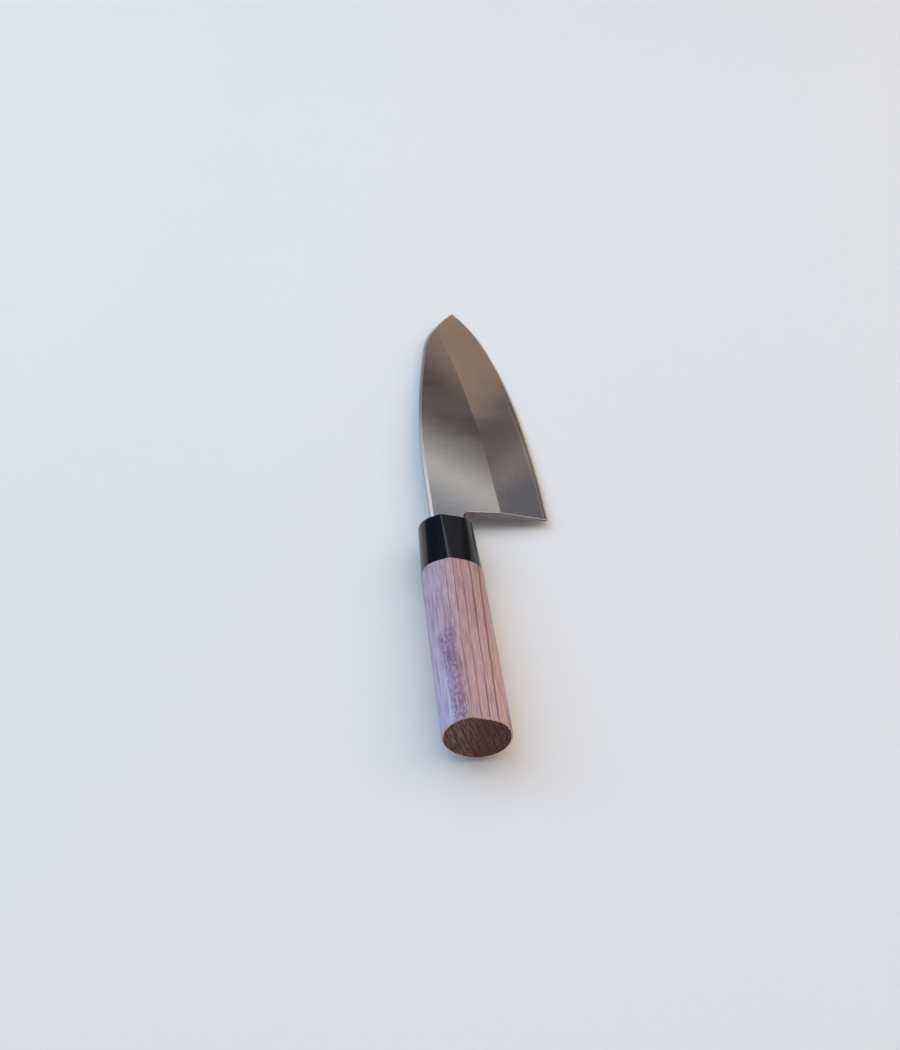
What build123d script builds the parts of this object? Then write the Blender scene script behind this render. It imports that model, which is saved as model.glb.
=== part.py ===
"""Right-handed single-bevel deba kitchen knife with a horn ferrule and a wooden handle.

Millimetres. The origin is the centre of the handle's butt face. +X runs along the handle towards
the tip, +Y towards the spine, and +Z out of the bevelled face. The hollow-ground back faces -Z.
"""
from build123d import *
from math import cos, radians, sin, sqrt, tan
import os

os.makedirs("parts", exist_ok=True)

# Blade, seen from the bevelled side
blade_length = 166.2
blade_depth = 52.2
neck_thickness = 4.0
tip_thickness = 1.7
blade_rise = 0.8
spine_offset = 5.65
heel_lean = 1.2
spine_chamfer_width = 1.2
spine_chamfer_depth = 0.6

# Ground faces of the blade
bevel_land = 0.4
edge_land = 0.08
edge_bevel_width = 1.15
hollow_rim = 2.6
hollow_depth = 0.5

# Neck and tang
neck_length = 10.5
neck_height = 14.0
heel_fillet = 3.2
neck_engagement = 5.6
tang_length = 96.0
tang_height = 10.4
tang_thickness = 3.6
tang_offset = -0.45
tang_end_height = 6.6
tang_end_thickness = 2.2
tang_end_round = 2.0

# Handle, with the ferrule
handle_length = 124.8
ferrule_length = 30.6
butt_width = 27.5
butt_thickness = 21.9
joint_width = 26.2
joint_thickness = 20.5
mouth_width = 23.6
mouth_thickness = 18.4
handle_roll = 6.0
butt_round = 1.1
mouth_chamfer = 0.35

# Radius of the soft ridge along the handle's bevelled side
butt_ridge = 7.0
joint_ridge = 3.6
mouth_ridge = 1.3

# Joinery inside the handle
tenon_diameter = 15.0
tenon_clearance = 0.05
mouth_wall = 6.0
end_gap = 0.3
bedding_gap = 0.5
bedding_end = 1.6
seal_gap = 0.35

# Cutting shapes run past the faces that they cut by this much
overrun = 2.0

# A curve is halved this many times to find a place on it
halvings = 40

# Curves of the handle's section are laid out in this many short stretches, which keeps its facets few
crest_stretches = 2
flank_stretches = 10
underside_stretches = 24

# Handle section: ridge and shoulders as shares of the half width and half thickness, slopes in degrees
butt_ridge_share = 0.24
joint_ridge_share = 0.19
mouth_ridge_share = 0.30
left_shoulder_shares = (0.905, 0.46)
right_shoulder_shares = (-0.79, 0.665)
mouth_right_shoulder_shares = (-0.86, 0.66)
ridge_left_slope = 27.0
ridge_right_slope = 4.0

# Blade outline: shares of the length from the heel, and of the tip's drop or of the blade's depth
tip_drop_share = 0.5153
straight_spine_share = 0.21
spine_curve_shares = ((0.54, 0.115), (0.77, 0.31), (0.87, 0.47), (0.925, 0.67))
belly_shares = ((0.12, 0.994), (0.36, 0.961), (0.60, 0.884), (0.80, 0.762), (0.92, 0.645))
tip_spine_heading = -37.0
tip_belly_heading = 210.0
heel_belly_heading = 181.5

# Line between the flat and the bevel: shares of the blade's length and of its depth below the spine
bevel_line_shares = (
    (-0.06, 0.594), (0.0, 0.588), (0.23, 0.560), (0.37, 0.535), (0.51, 0.493), (0.68, 0.430), (0.84, 0.347),
    (1.05, 0.227),
)

# Where the ground faces are set out, as shares of the blade's length, and a place behind the neck
neck_share = -0.12
station_shares = (-0.05, 0.0, 0.03, 0.07, 0.13, 0.23, 0.36, 0.5, 0.63, 0.75, 0.85, 0.93, 1.0, 1.04)
chamfer_steps = 28

# Hollow back: shares of the blade's length and of the width between the rims
hollow_shares = ((0.035, 0.15), (0.09, 0.72), (0.22, 0.96), (0.45, 1.0), (0.70, 1.0), (0.86, 0.90), (0.94, 0.4))

back_z = blade_rise - neck_thickness / 2
face_z = blade_rise + neck_thickness / 2
above_z = face_z + overrun
mouth_x = handle_length
joint_x = mouth_x - ferrule_length
tenon_end_x = mouth_x - mouth_wall - end_gap
neck_rear_x = mouth_x - neck_engagement
tang_end_x = mouth_x - tang_length
heel_x = mouth_x + neck_length
tip_drop = tip_drop_share * blade_depth
tip_point = Vector(heel_x + blade_length, spine_offset - tip_drop)
heel_corner = Vector(heel_x - heel_lean, spine_offset - blade_depth)
neck_edge_y = spine_offset - neck_height


def heading(angle):
    """Unit direction in the blade's plane, in degrees from +X towards +Y."""
    return (cos(radians(angle)), sin(radians(angle)))


def along(share):
    """Place along the handle's axis of a share of the blade's length."""
    return heel_x + share * blade_length


def below_spine(share):
    """Place across the blade of a share of its depth."""
    return spine_offset - share * blade_depth


def across(x):
    """Plane square to the handle's axis, whose own x axis points to the spine."""
    return Plane((x, 0, 0), x_dir=(0, 1, 0), z_dir=(1, 0, 0))


def spine_curve():
    """Spine from where it leaves the straight to the tip."""
    start = (along(straight_spine_share), spine_offset)
    middle = [(along(run), spine_offset - drop * tip_drop) for run, drop in spine_curve_shares]
    return Spline(start, *middle, tip_point, tangents=[(1, 0), heading(tip_spine_heading)])


def belly_curve():
    """Cutting edge from the tip back to the heel corner."""
    middle = [(along(run), below_spine(drop)) for run, drop in reversed(belly_shares)]
    ends = [heading(tip_belly_heading), heading(heel_belly_heading)]
    return Spline(tip_point, *middle, heel_corner, tangents=ends)


def bevel_line_curve():
    """Ridge line between the flat and the bevel, from the heel towards the tip."""
    return Spline(*[(along(run), below_spine(drop)) for run, drop in bevel_line_shares])


spine = spine_curve()
belly = belly_curve()
bevel_line = bevel_line_curve()


def height_at(curve, x):
    """Place across the blade where a curve that runs steadily along X passes x."""
    low, high = 0.0, 1.0
    forward = (curve @ 1).X > (curve @ 0).X
    for _ in range(halvings):
        middle = (low + high) / 2
        if ((curve @ middle).X < x) == forward:
            low = middle
        else:
            high = middle
    return (curve @ low).Y


def edge_at(x):
    """Place of the cutting edge across the blade, run on in line past the tip and the heel."""
    if x > tip_point.X:
        return tip_point.Y + (x - tip_point.X) * tan(radians(tip_belly_heading))
    if x < heel_corner.X:
        return heel_corner.Y + (x - heel_corner.X) * tan(radians(heel_belly_heading))
    return height_at(belly, x)


def spine_at(x):
    """Place of the spine across the blade, run on in line past the tip."""
    if x > tip_point.X:
        return tip_point.Y + (x - tip_point.X) * tan(radians(tip_spine_heading))
    if x < (spine @ 0).X:
        return spine_offset
    return height_at(spine, x)


def thickness_at(x):
    """Blade thickness, which falls evenly from the neck to the tip."""
    run = (x - neck_rear_x) / (tip_point.X - neck_rear_x)
    return neck_thickness - run * (neck_thickness - tip_thickness)


def blade_blank():
    """Blade and neck at full thickness."""
    inner_corner = (heel_x, neck_edge_y)
    rear_bottom = (neck_rear_x, neck_edge_y)
    rear_top = (neck_rear_x, spine_offset)
    outline = [
        Line(rear_top, spine @ 0),
        spine,
        belly,
        Line(heel_corner, inner_corner),
        Line(inner_corner, rear_bottom),
        Line(rear_bottom, rear_top),
    ]
    profile = make_face(outline)
    corner = profile.vertices().sort_by_distance(inner_corner)[0]
    profile = fillet(corner, heel_fillet)
    return extrude(Pos(Z=back_z) * profile, neck_thickness)


def distal_taper():
    """Wedge above the flat face, which thins the blade evenly from the neck to the tip."""
    low_x = neck_rear_x - overrun
    high_x = tip_point.X + overrun
    low_z = back_z + thickness_at(low_x)
    high_z = back_z + thickness_at(high_x)
    wedge = Polyline((low_x, low_z), (high_x, high_z), (high_x, above_z), (low_x, above_z), close=True)
    return extrude(Plane.XZ * make_face(wedge), 2 * blade_depth, both=True)


def space_above(stations, ruled=False):
    """Solid above a slanting face, lofted through x, the face's outer point and its inner point."""
    sections = []
    for x, outer, inner in stations:
        reach = (inner - outer).normalized() * overrun
        low = outer - reach
        high = inner + reach
        profile = Polyline(low, high, (high.X, above_z + overrun), (low.X, above_z + overrun), close=True)
        sections.append(across(x) * make_face(profile))
    return loft(sections, ruled=ruled)


def spine_chamfer_stations():
    """Chamfer along the spine, at even steps from behind the neck up past the tip."""
    for step in range(chamfer_steps + 1):
        run = step / chamfer_steps
        x = along(neck_share + run * (station_shares[-1] - neck_share))
        top = back_z + thickness_at(x)
        outer = Vector(spine_at(x), top - spine_chamfer_depth)
        inner = Vector(spine_at(x) - spine_chamfer_width, top)
        yield x, outer, inner


def bevel_stations():
    """Main bevel: from just above the back at the edge up to the ridge line."""
    for share in station_shares:
        x = along(share)
        outer = Vector(edge_at(x), back_z + bevel_land)
        inner = Vector(height_at(bevel_line, x), back_z + thickness_at(x))
        yield x, outer, inner


def edge_bevel_stations():
    """Narrow steep bevel along the edge, up to where it meets the main bevel."""
    for x, outer, inner in bevel_stations():
        climb = (inner - outer) * (edge_bevel_width / (inner.X - outer.X))
        yield x, Vector(outer.X, back_z + edge_land), outer + climb


def hollow_back():
    """Shallow concave grind that leaves a flat rim along the spine and the edge."""
    sections = []
    for run, fullness in hollow_shares:
        x = along(run)
        low = edge_at(x) + hollow_rim
        high = spine_at(x) - hollow_rim
        half = fullness * (high - low) / 2
        depth = hollow_depth * fullness**2
        radius = (half**2 + depth**2) / (2 * depth)
        wide = sqrt(radius**2 - (radius - 2 * depth) ** 2)
        middle = (low + high) / 2
        left = (middle - wide, back_z - depth)
        right = (middle + wide, back_z - depth)
        arc = ThreePointArc(left, (middle, back_z + depth), right)
        sections.append(across(x) * make_face([arc, Line(right, left)]))
    return loft(sections)


def tang_section(x, growth):
    """Rectangle across the tang at x, larger all round by growth."""
    run = (neck_rear_x - x) / (neck_rear_x - tang_end_x)
    height = tang_height + run * (tang_end_height - tang_height)
    thickness = tang_thickness + run * (tang_end_thickness - tang_thickness)
    centre = (tang_offset * (1 - run), blade_rise)
    return across(x) * Pos(*centre) * Rectangle(height + 2 * growth, thickness + 2 * growth)


def tang():
    """Tapered tang with a rounded end."""
    bar = loft([tang_section(tang_end_x, 0), tang_section(neck_rear_x, 0)])
    end = bar.faces().sort_by(Axis.X)[0]
    corners = end.edges().filter_by(Axis.Z)
    return fillet(corners, tang_end_round)


def tang_slot():
    """Slot in the wood for the tang and its bedding."""
    deep_end = tang_section(tang_end_x - bedding_end, bedding_gap)
    return loft([deep_end, tang_section(tenon_end_x, bedding_gap)])


def neck_slot():
    """Slot through the ferrule's front wall for the neck and its seal."""
    height = neck_height + 2 * seal_gap
    thickness = neck_thickness + 2 * seal_gap
    centre = (mouth_x - mouth_wall / 2, spine_offset - neck_height / 2, blade_rise)
    return Pos(*centre) * Box(mouth_wall, height, thickness)


def make_blade():
    """One piece of steel: ground blade, neck and tang."""
    body = blade_blank() - distal_taper() - space_above(spine_chamfer_stations(), ruled=True)
    body = body - space_above(bevel_stations()) - space_above(edge_bevel_stations()) - hollow_back()
    return body + tang()


def stretches(curve, count):
    """The curve as equal short stretches."""
    return [curve.trim(step / count, (step + 1) / count) for step in range(count)]


def grip_section(x, width, thickness, ridge, ridge_share, right_shares):
    """Oval across the handle with one soft ridge on the bevelled side."""
    half_width = width / 2
    half_thickness = thickness / 2
    side = (half_width, 0)
    far_side = (-half_width, 0)
    left_shoulder = (left_shoulder_shares[0] * half_width, left_shoulder_shares[1] * half_thickness)
    right_shoulder = (right_shares[0] * half_width, right_shares[1] * half_thickness)
    centre = (ridge_share * half_width, half_thickness - ridge)
    crest = CenterArc(centre, ridge, 90 - ridge_left_slope, ridge_left_slope + ridge_right_slope)
    left = Spline(crest @ 0, left_shoulder, side, tangents=[heading(-ridge_left_slope), (0, -1)])
    right = Spline(crest @ 1, right_shoulder, far_side, tangents=[heading(180 + ridge_right_slope), (0, -1)])
    underside = EllipticalCenterArc((0, 0), half_width, half_thickness, start_angle=180, arc_size=180)
    outline = stretches(crest, crest_stretches)
    outline += stretches(left, flank_stretches)
    outline += stretches(right, flank_stretches)
    outline += stretches(underside, underside_stretches)
    return across(x) * Rot(Z=handle_roll) * make_face(outline)


def joint_section():
    """Section where the wood and the horn meet flush."""
    ridge = (joint_ridge, joint_ridge_share)
    return grip_section(joint_x, joint_width, joint_thickness, *ridge, right_shoulder_shares)


def make_handle():
    """Wooden grip with a turned tenon and the slot for the tang."""
    ridge = (butt_ridge, butt_ridge_share)
    butt = grip_section(0, butt_width, butt_thickness, *ridge, right_shoulder_shares)
    grip = loft([butt, joint_section()], ruled=True)
    grip = fillet(grip.faces().sort_by(Axis.X)[0].edges(), butt_round)
    tenon = across(joint_x) * extrude(Circle(tenon_diameter / 2), tenon_end_x - joint_x)
    return grip + tenon - tang_slot()


def make_ferrule():
    """Horn collar, bored from behind for the tenon and slotted in front for the neck."""
    shape = (mouth_ridge, mouth_ridge_share, mouth_right_shoulder_shares)
    rim = grip_section(mouth_x - mouth_chamfer, mouth_width, mouth_thickness, *shape)
    front_width = mouth_width - 2 * mouth_chamfer
    front_thickness = mouth_thickness - 2 * mouth_chamfer
    front = grip_section(mouth_x, front_width, front_thickness, *shape)
    collar = loft([joint_section(), rim, front], ruled=True)
    bore_radius = tenon_diameter / 2 + tenon_clearance
    bore = across(joint_x) * extrude(Circle(bore_radius), ferrule_length - mouth_wall)
    return collar - bore - neck_slot()


blade = make_blade()
handle = make_handle()
ferrule = make_ferrule()
tang_bedding = tang_slot() - tang()
mouth_seal = neck_slot() - blade

pieces = {
    "blade": blade,
    "ferrule": ferrule,
    "handle": handle,
    "tang_bedding": tang_bedding,
    "mouth_seal": mouth_seal,
}
for name, piece in pieces.items():
    export_step(piece, f"parts/{name}.step")
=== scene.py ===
"""Looks, light and camera for the deba knife. Metres and degrees, in the knife's own frame:
+X along the handle to the tip, +Y towards the spine, +Z out of the bevelled face.

A mask's pair of numbers says where it begins and where it is full. A grain's waves are noise
waves to the metre along each axis. A share says how far a colour covers those below it."""

import math

import bpy
from mathutils import Matrix, Vector


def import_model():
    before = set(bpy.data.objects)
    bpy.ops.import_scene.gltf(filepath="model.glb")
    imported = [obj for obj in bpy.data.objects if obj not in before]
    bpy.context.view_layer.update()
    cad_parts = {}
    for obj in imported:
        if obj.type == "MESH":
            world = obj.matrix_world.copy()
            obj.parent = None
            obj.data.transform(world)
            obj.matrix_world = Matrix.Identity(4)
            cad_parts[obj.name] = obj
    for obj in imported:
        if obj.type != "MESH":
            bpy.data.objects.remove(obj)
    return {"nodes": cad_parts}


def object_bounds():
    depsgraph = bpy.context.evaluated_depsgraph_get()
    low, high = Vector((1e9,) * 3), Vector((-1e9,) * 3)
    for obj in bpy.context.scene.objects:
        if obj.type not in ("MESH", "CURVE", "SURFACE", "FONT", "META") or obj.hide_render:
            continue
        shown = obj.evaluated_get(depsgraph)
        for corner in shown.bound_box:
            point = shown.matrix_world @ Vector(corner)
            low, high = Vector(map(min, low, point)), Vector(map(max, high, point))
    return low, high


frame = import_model()
cad_low, cad_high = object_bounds()
nodes = frame["nodes"]

mm = 0.001

# Camera
camera_place = (-0.49669, 0.10817, 0.49483)
camera_dip = 37.91
camera_heading = -10.03
camera_roll = 7.016
camera_lens = 64.19
camera_sensor = 36.0
near_clip = 0.01
far_clip = 100.0

# The knife lies on its back and tips towards its edge, so the floor is tilted to it
floor_nose_tilt = 1.90
floor_edge_tilt = 5.62
floor_span = 12.0

# Lamps: name, heading, height, distance, width, depth, colour and power
cool = (0.50, 0.73, 1.0)
warm = (1.0, 0.84, 0.68)
neutral = (1.0, 0.98, 0.96)
lamps = (
    ("lamp_left", 63.0, 40.0, 1.6, 1.25, 2.2, cool, 16.5),
    ("lamp_right", -77.0, 48.0, 1.8, 1.6, 1.6, warm, 10.5),
    ("lamp_top", 180.0, 80.0, 2.0, 1.6, 1.6, neutral, 6.0),
)


class Graph:
    """A material's or the world's node tree, with short ways to add nodes."""

    def __init__(self, tree):
        self.tree = tree
        tree.nodes.clear()

    def node(self, kind, settings=None, **sockets):
        made = self.tree.nodes.new(kind)
        for name, value in (settings or {}).items():
            setattr(made, name, value)
        for name, value in sockets.items():
            self.put(made.inputs[name.replace("_", " ")], value)
        return made

    def put(self, socket, value):
        """Links the socket to another one, or sets it to a plain value."""
        if isinstance(value, bpy.types.NodeSocket):
            self.tree.links.new(value, socket)
        else:
            socket.default_value = value

    def math(self, operation, *values):
        made = self.node("ShaderNodeMath", {"operation": operation})
        for socket, value in zip(made.inputs, values):
            self.put(socket, value)
        return made.outputs[0]

    def times(self, first, *others):
        """The product of all the values."""
        for other in others:
            first = self.math("MULTIPLY", first, other)
        return first

    def most(self, first, *others):
        """The greatest of all the values."""
        for other in others:
            first = self.math("MAXIMUM", first, other)
        return first

    def less(self, first, second):
        return self.math("SUBTRACT", first, second)

    def line(self, value, slope, start):
        """The start plus the value times the slope."""
        return self.math("MULTIPLY_ADD", value, slope, start)

    def step(self, value, low, high, to_low=0.0, to_high=1.0):
        """A smooth change from one number to another as the value goes from low to high."""
        made = self.node("ShaderNodeMapRange", {"interpolation_type": "SMOOTHSTEP"})
        for socket, item in zip(made.inputs, (value, low, high, to_low, to_high)):
            self.put(socket, item)
        return made.outputs[0]

    def window(self, value, low, high, soft):
        """One between low and high, nought beyond them."""
        rise = self.step(value, low - soft, low + soft)
        fall = self.step(value, high + soft, high - soft)
        return self.times(rise, fall)

    def mix(self, share, first, second):
        made = self.node("ShaderNodeMix", {"data_type": "RGBA"})
        self.put(made.inputs["Factor"], share)
        self.put(made.inputs[6], rgba(first))
        self.put(made.inputs[7], rgba(second))
        return made.outputs[2]

    def shade(self, colour, amount):
        """The colour times the amount."""
        made = self.node("ShaderNodeVectorMath", {"operation": "SCALE"})
        self.put(made.inputs[0], colour)
        self.put(made.inputs["Scale"], amount)
        return made.outputs[0]

    def ramp(self, value, stops):
        """A colour that changes with the value, from (value, colour) stops."""
        low = stops[0][0]
        high = stops[-1][0]
        share = self.math("DIVIDE", self.less(value, low), high - low)
        made = self.node("ShaderNodeValToRGB", Fac=share)
        elements = made.color_ramp.elements
        elements[0].position = 0.0
        elements[1].position = 1.0
        for level, colour in stops[1:-1]:
            elements.new((level - low) / (high - low))
        for element, (level, colour) in zip(elements, stops):
            element.color = rgba(colour)
        return made.outputs["Color"]

    def noise(self, place, waves, detail=2.0, roughness=0.5, distortion=0.0, lean=0.0):
        """Noise stretched along the axes and then leaned in the plane of X and Y."""
        stretched = self.node("ShaderNodeMapping", Vector=place, Scale=waves)
        stretched.inputs["Rotation"].default_value = (0.0, 0.0, math.radians(lean))
        made = self.node(
            "ShaderNodeTexNoise",
            {"noise_dimensions": "3D"},
            Vector=stretched.outputs[0],
            Scale=1.0,
            Detail=detail,
            Roughness=roughness,
            Distortion=distortion,
        )
        return made.outputs["Fac"]

    def bump(self, height, depth, strength=1.0):
        made = self.node("ShaderNodeBump", Strength=strength, Distance=depth, Height=height)
        return made.outputs[0]


def rgba(colour):
    if isinstance(colour, bpy.types.NodeSocket):
        return colour
    return (*colour, 1.0)


def new_material(name, **plain):
    """A material with one Principled shader, its plain values set on its own sockets."""
    material = bpy.data.materials.new(name)
    material.use_nodes = True
    graph = Graph(material.node_tree)
    shader = graph.node("ShaderNodeBsdfPrincipled", **plain)
    graph.node("ShaderNodeOutputMaterial", Surface=shader.outputs[0])
    return material, graph, shader


def object_place(graph):
    return graph.node("ShaderNodeTexCoord").outputs["Object"]


def parts_of(graph, vector):
    split = graph.node("ShaderNodeSeparateXYZ")
    graph.put(split.inputs[0], vector)
    return split.outputs[0], split.outputs[1], split.outputs[2]


def facing_of(graph):
    """The surface's own normal, as along, across and up."""
    return parts_of(graph, graph.node("ShaderNodeNewGeometry").outputs["True Normal"])


def dress(node, material):
    """Puts the material in every slot of a CAD node."""
    slots = nodes[node].data.materials
    if not slots:
        slots.append(material)
    for index in range(len(slots)):
        slots[index] = material


# Steel: each face of the blade is told by the way that it faces
bevel_across = (-0.015, -0.04)
edge_across = (-0.25, -0.30)
spine_across = (0.30, 0.40)
spine_top_across = (0.80, 0.90)
heel_along = (-0.60, -0.80)
back_up = (-0.50, -0.60)
front_up = (0.7, 0.9)

# Steel: colours
flat_low_colour = (0.52, 0.505, 0.495)
flat_high_colour = (0.60, 0.59, 0.58)
bevel_low_colour = (0.52, 0.505, 0.50)
bevel_high_colour = (0.68, 0.65, 0.625)
# The polished edge is steel tinted warm and pale, a painted reflection
edge_steel_and_reflection_colour = (0.82, 0.72, 0.67)
# Painted highlight: the spine is pale near the neck, where it catches the light, and less so towards
# the tip
spine_neck_highlight_colour = (1.0, 0.86, 0.78)
spine_tip_colour = (0.62, 0.54, 0.51)
spine_fade = (150.0 * mm, 230.0 * mm)
spine_top_colour = (0.36, 0.35, 0.36)
back_colour = (0.60, 0.595, 0.59)
# Painted dark reflection: the heel face is painted dark
heel_dark_reflection_colour = (0.21, 0.19, 0.19)

# Steel: a thin pale band and a dark line are painted along the edge as painted reflections
pale_edge_reflection_colour = (0.96, 0.82, 0.70)
pale_edge_reflection_height = (-0.54 * mm, -0.40 * mm)
pale_edge_reflection_soft = 0.04 * mm
pale_edge_reflection_fade = (240.0 * mm, 195.0 * mm)
pale_edge_reflection_share = 0.75
# A painted dark reflection on the inner part of the polished edge
dark_edge_reflection_colour = (0.17, 0.145, 0.135)
dark_edge_reflection_height = (-0.80 * mm, -0.77 * mm)

# Steel: a painted highlight runs along the top of the heel
heel_highlight_colour = (0.95, 0.94, 0.93)
heel_line = 135.0 * mm
heel_slope = 0.023
heel_highlight_reach = (0.90 * mm, 0.36 * mm)
heel_highlight_side = (-10.0 * mm, -12.0 * mm)

# Steel: grinding lines and gloss
flat_grain = dict(waves=(7000.0, 160.0, 500.0), detail=3.0, roughness=0.6, lean=3.0)
bevel_grain = dict(waves=(160.0, 5200.0, 900.0), detail=3.0, roughness=0.6, lean=-4.0)
broad_grain = dict(waves=(60.0, 22.0, 22.0))
steel_cloud = dict(waves=(45.0, 30.0, 30.0), detail=4.0, roughness=0.6, lean=30.0)
grind_range = (0.30, 0.72)
grind_shades = (0.90, 1.05)
grind_depth = 0.0003 * mm
gloss_range = (0.2, 0.8)
steel_rough = (0.055, 0.085)
bevel_rougher = 0.01
back_rougher = 0.10
dull_rougher = 0.24
neck_metallic_change = -0.50


def edge_steel(graph, x, z, bevel, polish, colour):
    """A painted pale reflection inside the edge, then a painted dark reflection, then the polished
    edge itself, tinted warm and pale as a painted reflection.
    """
    pale_edge_reflection = graph.window(z, *pale_edge_reflection_height, pale_edge_reflection_soft)
    pale_edge_reflection = graph.times(pale_edge_reflection, graph.step(x, *pale_edge_reflection_fade, 0.0, pale_edge_reflection_share))
    colour = graph.mix(graph.times(bevel, pale_edge_reflection), colour, pale_edge_reflection_colour)
    polished_and_reflection = graph.mix(graph.step(z, *dark_edge_reflection_height), edge_steel_and_reflection_colour, dark_edge_reflection_colour)
    return graph.mix(polish, colour, polished_and_reflection)


def heel_highlight_mask(graph, x, y):
    """A thin strip beside the heel, on the bevelled face, where a highlight is painted."""
    from_heel = graph.line(y, -heel_slope, graph.less(x, heel_line))
    return graph.times(graph.step(from_heel, *heel_highlight_reach), graph.step(y, *heel_highlight_side))


def steel():
    """Satin flat and bevel with fine grinding lines, polished edge, rougher heel and spine; painted
    reflections along the edge, a heel face painted dark as a painted dark reflection with a painted
    highlight along its top, and a spine painted pale near the neck as a painted highlight.
    """
    material, graph, shader = new_material("satin_steel")
    place = object_place(graph)
    x, y, z = parts_of(graph, place)
    along, across, up = facing_of(graph)

    bevel = graph.step(across, *bevel_across)
    polish = graph.step(across, *edge_across)
    spine = graph.step(across, *spine_across)
    spine_top = graph.step(across, *spine_top_across)
    back = graph.step(up, *back_up)
    front = graph.step(up, *front_up)
    heel = graph.step(along, *heel_along)
    heel_highlight = heel_highlight_mask(graph, x, y)

    lines = graph.mix(bevel, graph.noise(place, **flat_grain), graph.noise(place, **bevel_grain))
    broad = graph.noise(place, **broad_grain)
    cloud = graph.noise(place, **steel_cloud)

    flat_colour = graph.mix(broad, flat_low_colour, flat_high_colour)
    bevel_colour = graph.mix(cloud, bevel_low_colour, bevel_high_colour)
    colour = graph.mix(bevel, flat_colour, bevel_colour)
    colour = edge_steel(graph, x, z, bevel, polish, colour)
    spine_colour = graph.mix(graph.step(x, *spine_fade), spine_neck_highlight_colour, spine_tip_colour)
    colour = graph.mix(spine, colour, spine_colour)
    colour = graph.mix(spine_top, colour, spine_top_colour)
    colour = graph.mix(back, colour, back_colour)
    colour = graph.mix(heel, colour, heel_dark_reflection_colour)
    colour = graph.mix(graph.times(heel_highlight, front), colour, heel_highlight_colour)
    colour = graph.shade(colour, graph.step(lines, *grind_range, *grind_shades))
    graph.put(shader.inputs["Base Color"], colour)

    # Near the neck the spine is made less metallic, so that its painted highlight shows as pale
    # colour
    near_neck = graph.times(spine, graph.step(x, *reversed(spine_fade)))
    graph.put(shader.inputs["Metallic"], graph.line(near_neck, neck_metallic_change, 1.0))
    rough = graph.step(broad, *gloss_range, *steel_rough)
    rough = graph.line(bevel, bevel_rougher, rough)
    rough = graph.line(graph.most(spine, heel, heel_highlight), dull_rougher, rough)
    rough = graph.line(back, back_rougher, rough)
    graph.put(shader.inputs["Roughness"], rough)
    graph.put(shader.inputs["Normal"], graph.bump(lines, grind_depth))
    dress("blade", material)


# Horn
horn_specular = 0.30
horn_dark = (0.002, 0.003, 0.005)
horn_pale = (0.008, 0.008, 0.010)
horn_streaks = dict(waves=(30.0, 900.0, 900.0), detail=3.0, roughness=0.6)
horn_streak_range = (0.5, 0.75)
horn_cloud = dict(waves=(90.0, 90.0, 90.0), detail=3.0)
horn_cloud_range = (0.3, 0.7)
horn_rough = (0.09, 0.13)
horn_scratches = dict(waves=(300.0, 5000.0, 5000.0), lean=20.0)
horn_scratch_depth = 0.001 * mm


def horn():
    """Polished black horn with faint lengthwise streaks and fine scratches."""
    material, graph, shader = new_material("black_horn", Specular_IOR_Level=horn_specular)
    place = object_place(graph)
    streaks = graph.noise(place, **horn_streaks)
    cloud = graph.noise(place, **horn_cloud)
    scratches = graph.noise(place, **horn_scratches)
    colour = graph.mix(graph.step(streaks, *horn_streak_range), horn_dark, horn_pale)
    graph.put(shader.inputs["Base Color"], colour)
    graph.put(shader.inputs["Roughness"], graph.step(cloud, *horn_cloud_range, *horn_rough))
    graph.put(shader.inputs["Normal"], graph.bump(scratches, horn_scratch_depth))
    dress("ferrule", material)


# Wood: growth rings lean across the handle
ring_pitch = 3.1 * mm
fine_ring_pitch = 0.31 * ring_pitch
ring_offset = 0.10
fine_ring_offset = 0.45
ring_lean = 0.44
ring_drift = 0.012
ring_wander = 3.2 * mm
ring_bend = dict(waves=(14.0, 45.0, 45.0), detail=3.0)
line_place = 0.40
line_scatter = 0.34
line_rise = (-0.18, -0.01)
line_fall = (0.10, 0.02)
line_tone_range = (0.0, 0.8)
line_tones = (0.65, 1.0)
line_fade = dict(waves=(28.0, 160.0, 160.0))
line_fade_range = (0.30, 0.50)
line_fade_shares = (0.5, 1.0)

# Wood: grain
wood_specular = 0.25
pore_grain = dict(waves=(60.0, 1700.0, 1700.0), detail=3.0, roughness=0.65)
pore_range = (0.48, 0.62)
fibre_grain = dict(waves=(120.0, 5200.0, 5200.0))
fibre_range = (0.35, 0.70)
wood_cloud = dict(waves=(22.0, 110.0, 110.0), detail=3.0)
streak_grain = dict(waves=(70.0, 1000.0, 1000.0), detail=4.0, roughness=0.7, lean=2.0)
streak_range = (0.46, 0.62)
painted_sheen_grain = dict(waves=(48.0, 230.0, 230.0), detail=3.0, roughness=0.6, distortion=1.2)
painted_sheen_range = (0.46, 0.62)

# Wood: where the painted light, sheen, highlight and shade lie
upper_height = (-4.0 * mm, 2.0 * mm)
left_side = (2.0 * mm, 9.0 * mm)
right_side = (-2.0 * mm, -11.0 * mm)
butt_reach = (75.0 * mm, 5.0 * mm)
butt_side = (5.0 * mm, 10.0 * mm)
painted_sheen_side = (1.0 * mm, 4.0 * mm)
rim_highlight_reach = (1.0 * mm, 0.5 * mm)
shaded_side = (3.0 * mm, -3.0 * mm)
shaded_reach = (92.0 * mm, 8.0 * mm)
shaded_change = (-0.10, 0.07)

# Wood: colours, and how far each one covers those below it
rose_dark = (0.41, 0.24, 0.235)
rose_pale = (0.53, 0.335, 0.318)
# Painted light: cool light on the spine's side of the handle
cool_light_colour = (0.40, 0.317, 0.45)
cool_light_share = 0.75
# Painted sheen in pale patches on the spine's side
painted_sheen_colour = (0.60, 0.53, 0.68)
painted_sheen_share = 0.45
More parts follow.
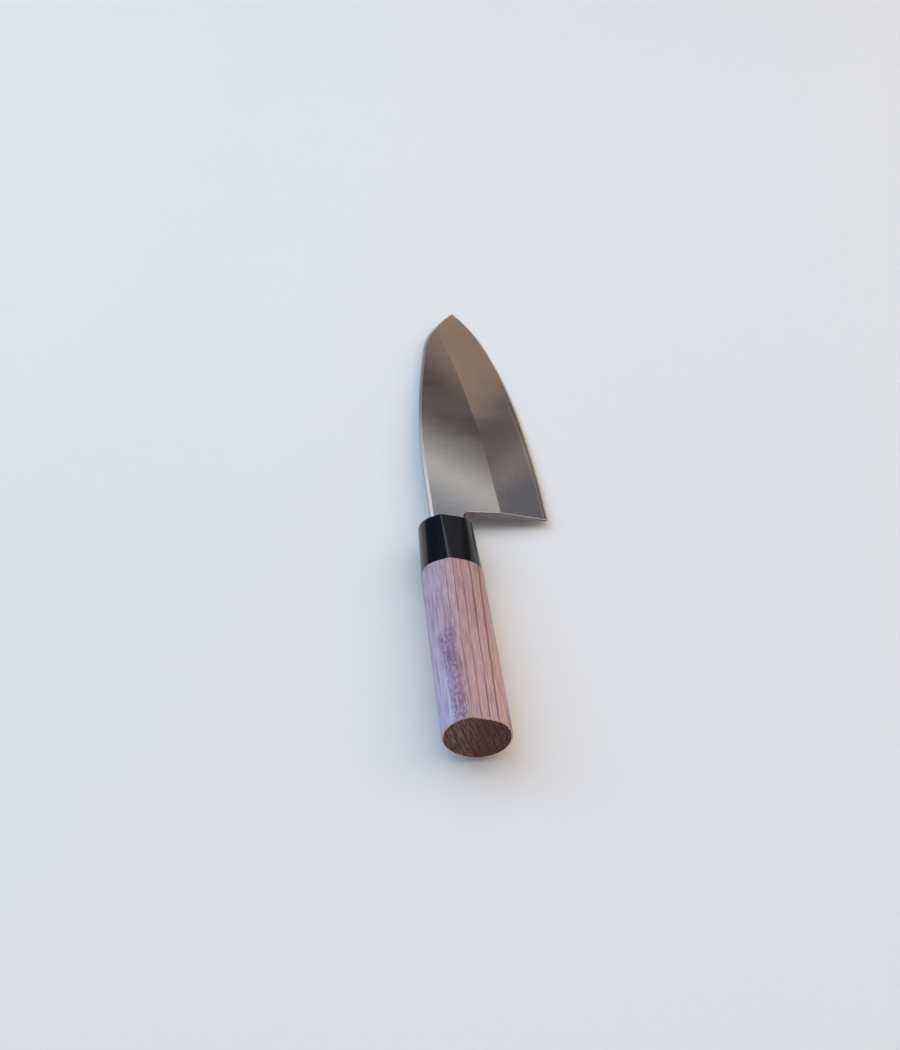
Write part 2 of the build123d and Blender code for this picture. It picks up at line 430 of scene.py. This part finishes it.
# Painted cool light near the butt, on the spine's side
butt_cool_light_colour = (0.48, 0.48, 0.68)
butt_cool_light_share = 0.85
# Painted warm light on the edge's side
warm_light_colour = (0.49, 0.29, 0.195)
warm_light_share = 0.55
fibre_colour = (0.70, 0.548, 0.56)
fibre_share = 0.35
streak_colour = (0.26, 0.105, 0.125)
streak_share = 0.30
streak_change_left = 0.10
streak_change_butt = -0.20
pore_colour = (0.24, 0.095, 0.11)
pore_share = 0.42
fine_ring_colour = (0.22, 0.08, 0.09)
fine_ring_share = 0.20
fine_ring_change_left = -0.12
ring_colour = (0.13, 0.04, 0.05)
ring_share = 0.85
ring_change_left = -0.62
figure_colour = (0.125, 0.052, 0.105)
figure_share = 0.72
# A painted highlight along the butt's rounded rim
rim_highlight_colour = (0.62, 0.47, 0.42)
rim_highlight_share = 0.45

# Wood: a mottled figure runs beside the ridge, ragged, up to a slanting end
figure_side = 6.6 * mm
figure_drift = 0.030
figure_reach = 3.1 * mm
figure_flare = 0.010
figure_border = (0.8 * mm, -1.8 * mm)
figure_height = (4.0 * mm, 7.0 * mm)
figure_slant = 0.9
figure_end = (55.12 * mm, 46.80 * mm)
ragged_grain = dict(waves=(90.0, 420.0, 420.0), detail=3.0, roughness=0.7)
ragged_reach = 6.0 * mm
ragged_end = 2.0
mottle_grain = dict(waves=(560.0, 900.0, 900.0), detail=3.0, roughness=0.75, distortion=0.8)
mottle_range = (0.40, 0.56)
mottle_shares = (0.30, 1.0)
figure_streak_range = (0.30, 0.55)
figure_streak_shares = (0.5, 1.0)

# Wood: end grain
end_along = (-0.93, -0.97)
end_dark = (0.052, 0.021, 0.016)
end_pale = (0.195, 0.075, 0.060)
speckle_grain = dict(waves=(1300.0, 1300.0, 1300.0), detail=3.0, roughness=0.7)
speckle_range = (0.38, 0.62)
end_streak_grain = dict(waves=(30.0, 1900.0, 260.0), detail=3.0, roughness=0.65)
end_streak_colour = (0.040, 0.018, 0.014)
end_streak_range = (0.50, 0.38)
end_streak_share = 0.55
tan_colour = (0.275, 0.168, 0.122)
tan_side = (-2.0 * mm, 5.0 * mm)
tan_cloud_range = (0.25, 0.55)
tan_streak_range = (0.42, 0.60)
tan_share = 0.80
end_fine_ring_colour = (0.030, 0.015, 0.014)
end_fine_ring_share = 0.35
end_ring_colour = (0.020, 0.011, 0.010)
end_ring_share = 0.90

# Wood: gloss and relief
wood_gloss_range = (0.3, 0.8)
wood_rough = (0.46, 0.62)
end_rougher = 0.20
ring_relief = -0.5
wood_relief_depth = 0.04 * mm
wood_relief_strength = 0.6


def growth_lines(graph, place, depth, pitch, offset):
    """Thin dark lines where the growth rings come out, unevenly spaced and unevenly dark."""
    bend = graph.noise(place, **ring_bend)
    depth = graph.line(parts_of(graph, place)[0], ring_drift, depth)
    depth = graph.line(graph.less(bend, 0.5), ring_wander, depth)
    phase = graph.line(depth, 1.0 / pitch, offset)
    ring = graph.math("FLOOR", phase)
    within = graph.math("FRACT", phase)
    chance = graph.node("ShaderNodeTexWhiteNoise", {"noise_dimensions": "1D"}, W=ring)
    past = graph.less(within, graph.line(chance.outputs["Value"], line_scatter, line_place))
    line = graph.times(graph.step(past, *line_rise), graph.step(past, *line_fall))
    tone = parts_of(graph, chance.outputs["Color"])[1]
    line = graph.times(line, graph.step(tone, *line_tone_range, *line_tones))
    fade = graph.noise(place, **line_fade)
    return graph.times(line, graph.step(fade, *line_fade_range, *line_fade_shares))


def figure_mask(graph, place, streak):
    """Where the mottled figure shows, and how strongly."""
    x, y, z = parts_of(graph, place)
    ragged = graph.times(graph.less(graph.noise(place, **ragged_grain), 0.5), ragged_reach)
    aside = graph.less(y, graph.line(x, figure_drift, figure_side))
    reach = graph.line(x, figure_flare, figure_reach)
    outside = graph.less(graph.math("ADD", graph.math("ABSOLUTE", aside), ragged), reach)
    beyond = graph.line(ragged, ragged_end, graph.line(aside, figure_slant, x))
    mottle = graph.noise(place, **mottle_grain)
    return graph.times(
        graph.step(outside, *figure_border),
        graph.step(z, *figure_height),
        graph.step(beyond, *figure_end),
        graph.step(mottle, *mottle_range, *mottle_shares),
        graph.step(streak, *figure_streak_range, *figure_streak_shares),
    )


def end_grain_colour(graph, place, leaning, cloud, rings, fine_rings):
    """Dark speckled end grain with tan streaks along the growth rings."""
    y = parts_of(graph, place)[1]
    speckle = graph.noise(place, **speckle_grain)
    streak = graph.noise(leaning, **end_streak_grain)
    dark = graph.step(streak, *end_streak_range, 0.0, end_streak_share)
    tan = graph.times(
        graph.step(y, *tan_side),
        graph.step(cloud, *tan_cloud_range),
        graph.step(streak, *tan_streak_range),
        tan_share,
    )
    colour = graph.mix(graph.step(speckle, *speckle_range), end_dark, end_pale)
    colour = graph.mix(dark, colour, end_streak_colour)
    colour = graph.mix(tan, colour, tan_colour)
    colour = graph.mix(graph.times(fine_rings, end_fine_ring_share), colour, end_fine_ring_colour)
    return graph.mix(graph.times(rings, end_ring_share), colour, end_ring_colour)


def wood():
    """Rose-brown wood with dark growth lines, pores, a mottled figure and dark end grain; painted
    cool light and sheen on the spine's side and near the butt, painted warm light, shade and light on
    the edge's side, and a painted highlight on the butt's rim.
    """
    material, graph, shader = new_material("rose_brown_wood", Specular_IOR_Level=wood_specular)
    place = object_place(graph)
    x, y, z = parts_of(graph, place)
    depth = graph.line(z, -ring_lean, y)
    leaning = graph.node("ShaderNodeCombineXYZ", X=x, Y=depth, Z=z).outputs[0]

    rings = growth_lines(graph, place, depth, ring_pitch, ring_offset)
    fine_rings = growth_lines(graph, place, depth, fine_ring_pitch, fine_ring_offset)
    pores = graph.noise(place, **pore_grain)
    fibre = graph.noise(place, **fibre_grain)
    cloud = graph.noise(place, **wood_cloud)
    streak = graph.noise(place, **streak_grain)
    painted_sheen = graph.noise(place, **painted_sheen_grain)

    # Masks for the painted light: cool light on the upper spine side and near the butt, warm light on
    # the edge's side
    upper = graph.step(z, *upper_height)
    left = graph.times(graph.step(y, *left_side), upper)
    right = graph.step(y, *right_side)
    near_butt = graph.times(graph.step(x, *butt_reach), graph.step(y, *butt_side), upper)
    painted_sheen = graph.times(graph.step(painted_sheen, *painted_sheen_range, 0.0, painted_sheen_share), graph.step(y, *painted_sheen_side))
    # On the spine's side, under the painted cool light, the growth lines are fainter
    streaked = graph.line(left, streak_change_left, streak_share)
    streaked = graph.line(near_butt, streak_change_butt, streaked)
    streaked = graph.times(streaked, graph.step(streak, *streak_range))
    fine_covers = graph.line(left, fine_ring_change_left, fine_ring_share)
    ring_covers = graph.line(left, ring_change_left, ring_share)
    covers = (
        (graph.times(left, cool_light_share), cool_light_colour),
        (painted_sheen, painted_sheen_colour),
        (graph.times(near_butt, butt_cool_light_share), butt_cool_light_colour),
        (graph.times(right, warm_light_share), warm_light_colour),
        (graph.step(fibre, *fibre_range, 0.0, fibre_share), fibre_colour),
        (streaked, streak_colour),
        (graph.step(pores, *pore_range, 0.0, pore_share), pore_colour),
        (graph.times(fine_rings, fine_covers), fine_ring_colour),
        (graph.times(rings, ring_covers), ring_colour),
        (graph.times(figure_mask(graph, place, streak), figure_share), figure_colour),
    )
    colour = graph.mix(cloud, rose_dark, rose_pale)
    for share, tint in covers:
        colour = graph.mix(share, colour, tint)

    # Painted shade on the edge's side near the ferrule, and painted light there near the butt
    change = graph.step(x, *shaded_reach, *shaded_change)
    colour = graph.shade(colour, graph.line(graph.step(y, *shaded_side), change, 1.0))
    # A painted highlight along the butt's rounded rim
    colour = graph.mix(graph.times(graph.step(x, *rim_highlight_reach), rim_highlight_share), colour, rim_highlight_colour)
    end_grain = graph.step(facing_of(graph)[0], *end_along)
    end_colour = end_grain_colour(graph, place, leaning, cloud, rings, fine_rings)
    graph.put(shader.inputs["Base Color"], graph.mix(end_grain, colour, end_colour))

    rough = graph.step(pores, *wood_gloss_range, *wood_rough)
    graph.put(shader.inputs["Roughness"], graph.line(end_grain, end_rougher, rough))
    relief = graph.line(rings, ring_relief, graph.less(1.0, pores))
    relief = graph.bump(relief, wood_relief_depth, wood_relief_strength)
    graph.put(shader.inputs["Normal"], relief)
    dress("handle", material)


# Resin
resin_rough = 0.5
resin_dark = (0.045, 0.038, 0.034)
resin_pale = (0.075, 0.065, 0.058)
resin_cloud = dict(waves=(900.0, 900.0, 900.0), detail=3.0)
resin_relief_depth = 0.05 * mm
resin_relief_strength = 0.5


def resin():
    """Dark cured resin with a slightly uneven surface."""
    material, graph, shader = new_material("dark_resin", Roughness=resin_rough)
    cloud = graph.noise(object_place(graph), **resin_cloud)
    graph.put(shader.inputs["Base Color"], graph.mix(cloud, resin_dark, resin_pale))
    relief = graph.bump(cloud, resin_relief_depth, resin_relief_strength)
    graph.put(shader.inputs["Normal"], relief)
    dress("tang_bedding", material)
    dress("mouth_seal", material)


# Floor and backdrop
floor_rough = 0.85
floor_specular = 0.1
floor_colour = (0.81, 0.79, 0.755)
floor_shade = 0.985
floor_cloud = dict(waves=(7.0, 7.0, 7.0), detail=3.0)
floor_far = (0.8, 3.5)
backdrop_colour = (0.78, 0.77, 0.76)


def seen_directly(graph):
    """One for rays that look at the backdrop, straight or in a mirror, and nought for its light."""
    path = graph.node("ShaderNodeLightPath").outputs
    return graph.most(path["Is Camera Ray"], path["Is Glossy Ray"], path["Is Transmission Ray"])


def floor_material():
    """A pale floor that meets the backdrop's own colour far from the knife."""
    material, graph, shader = new_material(
        "pale_floor", Roughness=floor_rough, Specular_IOR_Level=floor_specular
    )
    place = object_place(graph)
    shaded = [part * floor_shade for part in floor_colour]
    pale = graph.mix(graph.noise(place, **floor_cloud), shaded, floor_colour)
    graph.put(shader.inputs["Base Color"], pale)
    distance = graph.node("ShaderNodeVectorMath", {"operation": "LENGTH"})
    graph.put(distance.inputs[0], place)
    far = graph.times(graph.step(distance.outputs["Value"], *floor_far), seen_directly(graph))
    glow = graph.node("ShaderNodeEmission", Color=rgba(backdrop_colour))
    blend = graph.node("ShaderNodeMixShader", Fac=far)
    graph.put(blend.inputs[1], shader.outputs[0])
    graph.put(blend.inputs[2], glow.outputs[0])
    graph.put(graph.tree.nodes["Material Output"].inputs["Surface"], blend.outputs[0])
    return material


def floor():
    """A plane tilted to the knife, through the lowest point that rests on it."""
    nose = math.radians(floor_nose_tilt)
    edge = math.radians(floor_edge_tilt)
    up = Vector((-math.sin(nose), math.cos(nose) * math.sin(edge), math.cos(nose) * math.cos(edge)))
    corners = [vertex.co for node in nodes.values() for vertex in node.data.vertices]
    drop = min(corner.dot(up) for corner in corners)
    bpy.ops.mesh.primitive_plane_add(size=floor_span)
    made = bpy.context.object
    made.name = "floor"
    made.rotation_mode = "QUATERNION"
    made.rotation_quaternion = up.to_track_quat("Z", "Y")
    made.location = up * drop
    made.data.materials.append(floor_material())


def lamp(name, heading, height, distance, width, depth, colour, power):
    """A soft rectangular lamp that looks at the middle of the knife."""
    middle = (cad_low + cad_high) / 2.0
    heading = math.radians(heading)
    height = math.radians(height)
    level = math.cos(height)
    towards = Vector((level * math.cos(heading), level * math.sin(heading), math.sin(height)))
    light = bpy.data.lights.new(name, "AREA")
    light.shape = "RECTANGLE"
    light.size = width
    light.size_y = depth
    light.color = colour
    light.energy = power
    made = bpy.data.objects.new(name, light)
    made.location = middle + towards * distance
    made.rotation_mode = "QUATERNION"
    made.rotation_quaternion = towards.to_track_quat("Z", "Y")
    bpy.context.scene.collection.objects.link(made)


# Light from all round, cool on the spine's side and warm on the edge's
sky_cool = (0.37, 0.43, 0.57)
sky_warm = (0.50, 0.44, 0.39)
sky_side = (-0.8, 0.8)

# Cards that the steel and the horn mirror
warm_card = (0.40, 0.285, 0.21)
dark_card = (0.142, 0.118, 0.122)
shade_card = (0.105, 0.085, 0.082)
cool_card = (0.17, 0.175, 0.20)
grey_card = (0.36, 0.35, 0.36)
glint_card = (0.35, 0.30, 0.285)
blue_card = (0.30, 0.33, 0.40)
pale_card = (0.98, 0.94, 0.87)
strip_lamp = (1.7, 1.8, 2.1)
side_lamp = (3.2, 3.35, 3.8)
ridge_card = (0.56, 0.58, 0.63)
dark_wall = (0.09, 0.11, 0.17)
dim_wall = (0.10, 0.09, 0.085)
low_wall = (0.60, 0.53, 0.46)

# Where they hang: headings and heights, and a window's last number is its softness
ahead_turn = (-28.0, 14.0, 2.0)
ahead_rise = (24.0, 52.0, 2.0)
strip_turn = (-6.0, 17.0, 1.0)
strip_rise = (32.0, 46.0, 1.0)
side_lamp_turn = (-20.0, -14.5, 1.0)
side_lamp_rise = (33.0, 40.0, 1.0)
ridge_turn_begin = (-28.0, -20.5)
ridge_turn_end = (-19.2, -20.2)
ridge_rise = (25.0, 28.3, 0.5)
left_wall_turn = (17.0, 48.0, 3.0)
left_wall_top = (36.0, 31.0)
right_wall_turn = (-48.0, -27.0, 2.0)
dim_wall_top = (31.0, 27.0)
low_wall_top = (18.0, 16.0)
backdrop_top = (10.0, 6.0)

# Bands that the blade's flat mirrors, by height, and that its bevel mirrors, by heading
flat_bands = (
    (30.0, warm_card), (31.7, warm_card), (31.95, shade_card), (33.4, shade_card),
    (34.05, grey_card), (34.8, pale_card), (35.0, pale_card), (35.5, blue_card),
    (37.2, blue_card), (38.4, pale_card),
)
bevel_bands = (
    (-26.0, cool_card), (-22.0, cool_card), (-20.9, glint_card), (-20.0, dark_card),
    (-18.35, dark_card), (-17.6, warm_card), (-14.0, warm_card),
)
flat_band_heading = -9.0
flat_heel_tilt = 0.33
flat_tip_tilt = 0.6
flat_tilt_change = (33.6, 31.6)
bevel_band_height = 29.5
bevel_band_tilt = 0.6
flat_to_bevel = (-12.2, -13.2)


def blade_bands(graph, turn, rise):
    """The bands that the blade's flat mirrors, and beyond a heading those of its bevel."""
    tilt = graph.step(rise, *flat_tilt_change, flat_heel_tilt, flat_tip_tilt)
    flat_level = graph.line(graph.less(turn, flat_band_heading), tilt, rise)
    bevel_level = graph.line(graph.less(rise, bevel_band_height), bevel_band_tilt, turn)
    flat_card = graph.ramp(flat_level, flat_bands)
    bevel_card = graph.ramp(bevel_level, bevel_bands)
    return graph.mix(graph.step(turn, *flat_to_bevel), flat_card, bevel_card)


def world():
    """Light from all round, and the cards that the knife mirrors."""
    made = bpy.data.worlds.new("studio")
    bpy.context.scene.world = made
    made.use_nodes = True
    graph = Graph(made.node_tree)
    x, y, z = parts_of(graph, graph.node("ShaderNodeTexCoord").outputs["Generated"])
    rise = graph.times(graph.math("ARCSINE", z), math.degrees(1.0))
    turn = graph.times(graph.math("ARCTAN2", y, x), math.degrees(1.0))

    def spread(turn_window, rise_window):
        return graph.times(graph.window(turn, *turn_window), graph.window(rise, *rise_window))

    ridge = graph.times(
        graph.step(turn, *ridge_turn_begin),
        graph.step(turn, *ridge_turn_end),
        graph.window(rise, *ridge_rise),
    )
    left_wall = graph.times(graph.window(turn, *left_wall_turn), graph.step(rise, *left_wall_top))
    right_wall = graph.window(turn, *right_wall_turn)
    cards = (
        (spread(ahead_turn, ahead_rise), blade_bands(graph, turn, rise)),
        (spread(strip_turn, strip_rise), strip_lamp),
        (spread(side_lamp_turn, side_lamp_rise), side_lamp),
        (ridge, ridge_card),
        (left_wall, dark_wall),
        (graph.times(right_wall, graph.step(rise, *dim_wall_top)), dim_wall),
        (graph.times(right_wall, graph.step(rise, *low_wall_top)), low_wall),
        (graph.times(seen_directly(graph), graph.step(rise, *backdrop_top)), backdrop_colour),
    )
    colour = graph.mix(graph.step(y, *sky_side), sky_warm, sky_cool)
    for share, card in cards:
        colour = graph.mix(share, colour, card)
    background = graph.node("ShaderNodeBackground", Color=colour)
    graph.node("ShaderNodeOutputWorld", Surface=background.outputs[0])


def camera():
    """The camera that sees the knife from the photograph's viewing angle."""
    dip = math.radians(camera_dip)
    heading = math.radians(camera_heading)
    roll = math.radians(camera_roll)
    level = math.cos(dip)
    forward = Vector((level * math.cos(heading), level * math.sin(heading), -math.sin(dip)))
    across = forward.cross(Vector((0.0, 0.0, 1.0))).normalized()
    above = across.cross(forward)
    right = across * math.cos(roll) + above * math.sin(roll)
    up = above * math.cos(roll) - across * math.sin(roll)
    data = bpy.data.cameras.new("camera")
    data.lens = camera_lens
    data.sensor_width = camera_sensor
    data.clip_start = near_clip
    data.clip_end = far_clip
    made = bpy.data.objects.new("camera", data)
    turn = Matrix((right, up, -forward)).transposed()
    made.matrix_world = Matrix.Translation(camera_place) @ turn.to_4x4()
    bpy.context.scene.collection.objects.link(made)
    bpy.context.scene.camera = made


steel()
horn()
wood()
resin()
floor()
for settings in lamps:
    lamp(*settings)
world()
camera()
bpy.context.scene.view_settings.view_transform = "Standard"
